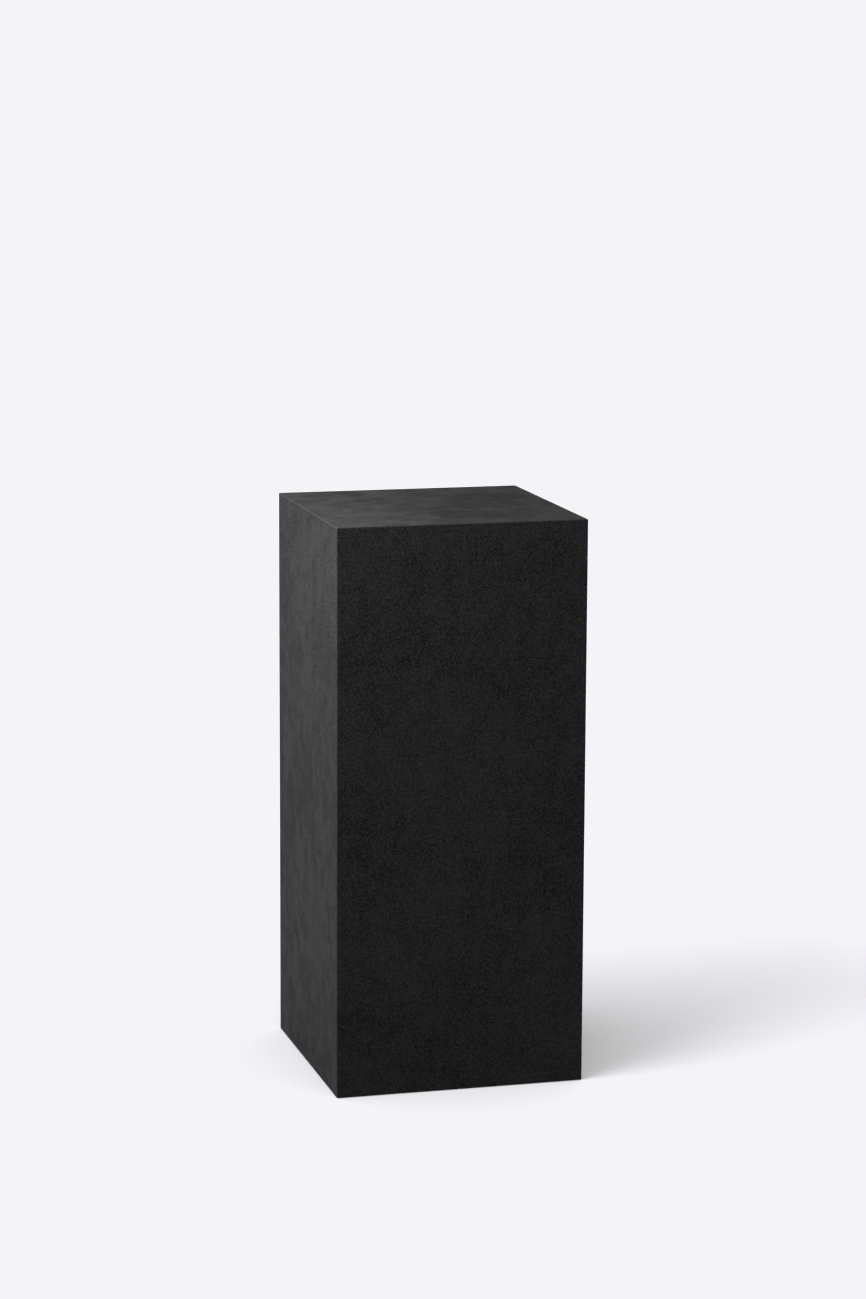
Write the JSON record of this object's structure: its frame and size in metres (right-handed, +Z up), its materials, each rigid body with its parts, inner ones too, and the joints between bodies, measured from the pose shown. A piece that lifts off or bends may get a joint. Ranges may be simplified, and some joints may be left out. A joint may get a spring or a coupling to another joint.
{
  "type": "display plinth",
  "caption": "Tall square display plinth with mitred, eased arrises and a matt black fibreboard case on hidden levelling feet.",
  "frame": {"origin": "on the floor under the middle of the plinth", "axes": "+Z up, -Y towards the front, +X to the right seen from the front"},
  "size_m": [0.4, 0.4, 0.9],
  "materials": {
    "black_fibreboard": "matte",
    "birch_plywood": "matte",
    "softwood": "matte",
    "yellow_zinc_steel": "satin",
    "zinc_steel": "satin",
    "mill_steel": "matte",
    "brass": "satin",
    "black_nylon": "matte",
    "grey_rubber": "matte"
  },
  "bodies": {
    "plinth": {"front_panel": "black_fibreboard", "right_panel": "black_fibreboard", "back_panel": "black_fibreboard", "left_panel": "black_fibreboard", "top_panel": "black_fibreboard", "upright_mitre_tongues": "birch_plywood", "top_mitre_tongues": "birch_plywood", "corner_batten_front_left": "softwood", "corner_batten_front_right": "softwood", "corner_batten_back_right": "softwood", "corner_batten_back_left": "softwood", "base_bearer_front": "softwood", "base_bearer_right": "softwood", "base_bearer_back": "softwood", "base_bearer_left": "softwood", "mid_cleat_front": "softwood", "mid_cleat_right": "softwood", "mid_cleat_back": "softwood", "mid_cleat_left": "softwood", "top_cleat_front": "softwood", "top_cleat_right": "softwood", "top_cleat_back": "softwood", "top_cleat_left": "softwood", "mid_rib": "birch_plywood", "batten_screws": "yellow_zinc_steel", "cleat_screws": "yellow_zinc_steel", "rib_screws": "yellow_zinc_steel", "base_board": "birch_plywood", "base_inserts": "brass", "base_screws": "zinc_steel", "lower_ballast_plate": "mill_steel", "upper_ballast_plate": "mill_steel", "ballast_bolts": "zinc_steel", "ballast_washers": "zinc_steel", "ballast_nuts": "zinc_steel", "foot_insert_front_left": "zinc_steel", "foot_insert_front_right": "zinc_steel", "foot_insert_back_right": "zinc_steel", "foot_insert_back_left": "zinc_steel"},
    "front_left_foot": {"foot_pad_front_left": "black_nylon", "foot_sole_front_left": "grey_rubber", "foot_ring_front_left": "zinc_steel"},
    "front_left_stud": {"foot_stud_front_left": "zinc_steel"},
    "front_right_foot": {"foot_pad_front_right": "black_nylon", "foot_sole_front_right": "grey_rubber", "foot_ring_front_right": "zinc_steel"},
    "front_right_stud": {"foot_stud_front_right": "zinc_steel"},
    "back_right_foot": {"foot_pad_back_right": "black_nylon", "foot_sole_back_right": "grey_rubber", "foot_ring_back_right": "zinc_steel"},
    "back_right_stud": {"foot_stud_back_right": "zinc_steel"},
    "back_left_foot": {"foot_pad_back_left": "black_nylon", "foot_sole_back_left": "grey_rubber", "foot_ring_back_left": "zinc_steel"},
    "back_left_stud": {"foot_stud_back_left": "zinc_steel"}
  },
  "joints": [
    {"name": "front_left_foot_height", "type": "slide", "parent": "plinth", "child": "front_left_foot", "axis": [0, 0, -1], "range_m": [0, 0.015]},
    {"name": "front_left_stud_turn", "type": "hinge", "parent": "front_left_foot", "child": "front_left_stud", "pos_m": [-0.138, -0.138, 0.009], "axis": [0, 0, -1], "range_deg": [0, 3600]},
    {"name": "front_right_foot_height", "type": "slide", "parent": "plinth", "child": "front_right_foot", "axis": [0, 0, -1], "range_m": [0, 0.015]},
    {"name": "front_right_stud_turn", "type": "hinge", "parent": "front_right_foot", "child": "front_right_stud", "pos_m": [0.138, -0.138, 0.009], "axis": [0, 0, -1], "range_deg": [0, 3600]},
    {"name": "back_right_foot_height", "type": "slide", "parent": "plinth", "child": "back_right_foot", "axis": [0, 0, -1], "range_m": [0, 0.015]},
    {"name": "back_right_stud_turn", "type": "hinge", "parent": "back_right_foot", "child": "back_right_stud", "pos_m": [0.138, 0.138, 0.009], "axis": [0, 0, -1], "range_deg": [0, 3600]},
    {"name": "back_left_foot_height", "type": "slide", "parent": "plinth", "child": "back_left_foot", "axis": [0, 0, -1], "range_m": [0, 0.015]},
    {"name": "back_left_stud_turn", "type": "hinge", "parent": "back_left_foot", "child": "back_left_stud", "pos_m": [-0.138, 0.138, 0.009], "axis": [0, 0, -1], "range_deg": [0, 3600]}
  ],
  "couplings": [
    {"joint": "front_left_stud_turn", "follows": "front_left_foot_height", "rad_per_m": 4188.8},
    {"joint": "front_right_stud_turn", "follows": "front_right_foot_height", "rad_per_m": 4188.8},
    {"joint": "back_right_stud_turn", "follows": "back_right_foot_height", "rad_per_m": 4188.8},
    {"joint": "back_left_stud_turn", "follows": "back_left_foot_height", "rad_per_m": 4188.8}
  ]
}
